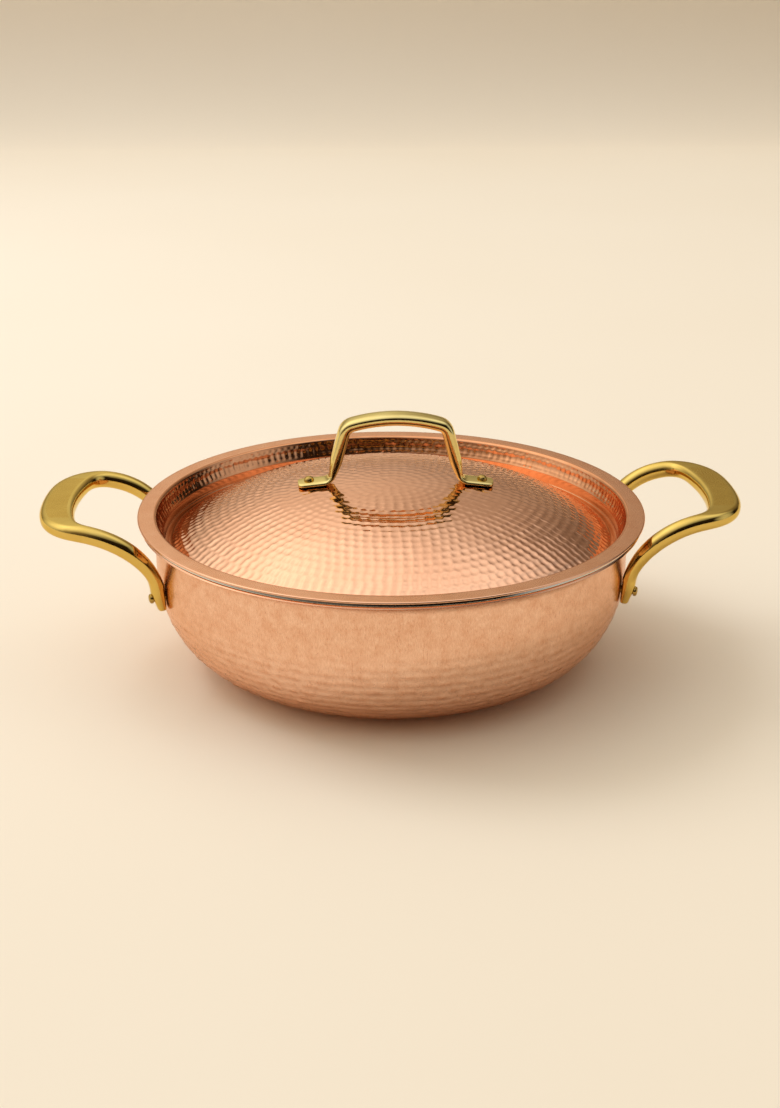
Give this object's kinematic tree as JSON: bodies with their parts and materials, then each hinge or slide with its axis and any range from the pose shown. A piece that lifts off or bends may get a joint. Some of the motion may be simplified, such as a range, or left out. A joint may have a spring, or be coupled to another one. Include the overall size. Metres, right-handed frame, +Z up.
{
  "type": "kadai with lid",
  "caption": "Round lidded kadai: a steel-lined copper pan with looped brass side handles and a hammered copper dome lid with a brass strap handle.",
  "frame": {"origin": "centre of the pan's flat base, on the surface it stands on", "axes": "+X through the middle of the right-hand side handle, +Z up along the pan's axis, +Y away from the pictured front"},
  "size_m": [0.3298, 0.24, 0.1194],
  "materials": {
    "pan_copper": "satin brushed copper",
    "lid_copper": "hammered and polished copper, satin on the flange",
    "steel_lining": "satin stainless steel",
    "cast_brass": "polished cast brass, satin on the grip's flat top",
    "brass_strap": "polished brass strap",
    "brass_rivets": "polished brass"
  },
  "bodies": {
    "pan": {"pan_copper_shell": "pan_copper", "pan_steel_lining": "steel_lining", "right_side_handle": "cast_brass", "left_side_handle": "cast_brass", "right_rear_handle_rivet": "brass_rivets", "right_front_handle_rivet": "brass_rivets", "left_rear_handle_rivet": "brass_rivets", "left_front_handle_rivet": "brass_rivets"},
    "lid": {"lid_copper_shell": "lid_copper", "lid_steel_lining": "steel_lining", "lid_handle": "brass_strap", "right_lid_rivet": "brass_rivets", "left_lid_rivet": "brass_rivets"}
  },
  "joints": [
    {"name": "lid_lift", "type": "slide", "parent": "pan", "child": "lid", "axis": [0, 0, 1], "range_m": [0, 0.15]}
  ]
}
